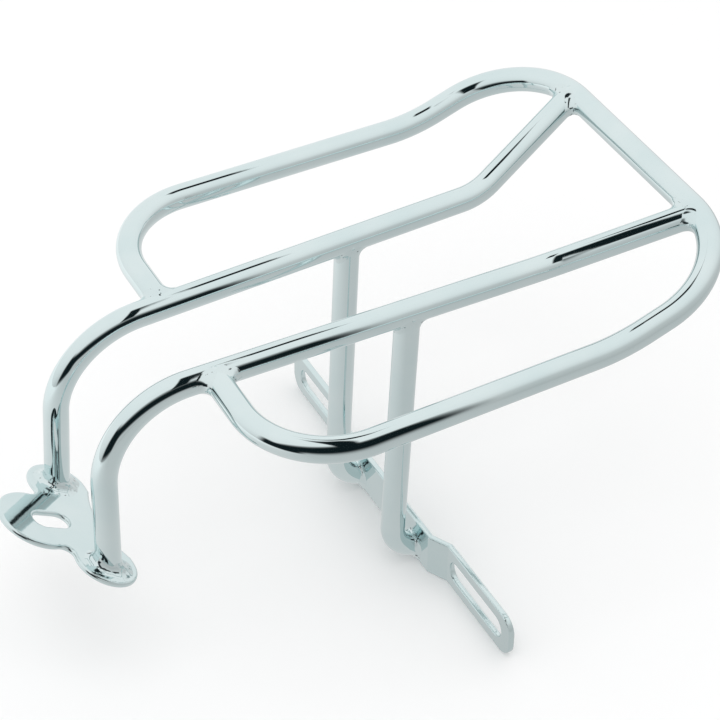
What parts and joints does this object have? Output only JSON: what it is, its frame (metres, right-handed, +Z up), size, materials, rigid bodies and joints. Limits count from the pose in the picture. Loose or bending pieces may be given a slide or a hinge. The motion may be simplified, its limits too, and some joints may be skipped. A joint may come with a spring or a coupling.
{
  "type": "motorcycle luggage rack",
  "caption": "Welded tube luggage rack for the rear mudguard of a motorcycle, with a slotted cross strap at the rear and a slotted plate at the front.",
  "frame": {"origin": "midway between the two long slots of the cross strap, on the rear face of its tabs", "axes": "+X to the rear of the motorcycle, +Y to its right, +Z up"},
  "size_m": [0.3559, 0.234, 0.2023],
  "materials": {
    "tube_chrome": "mirror-bright plating on steel tube",
    "flat_chrome": "mirror-bright plating on flat steel",
    "weld_chrome": "plated weld beads, lumpy"
  },
  "bodies": {
    "root": {"hoop": "tube_chrome", "rail_left": "tube_chrome", "rail_right": "tube_chrome", "upright_left": "tube_chrome", "upright_right": "tube_chrome", "cross_strap": "flat_chrome", "front_plate": "flat_chrome", "weld_hoop_left": "weld_chrome", "weld_hoop_right": "weld_chrome", "weld_rail_end_left": "weld_chrome", "weld_rail_end_right": "weld_chrome", "weld_upright_top_left": "weld_chrome", "weld_upright_top_right": "weld_chrome", "weld_upright_foot_left": "weld_chrome", "weld_upright_foot_right": "weld_chrome", "weld_leg_left": "weld_chrome", "weld_leg_right": "weld_chrome"}
  },
  "joints": []
}
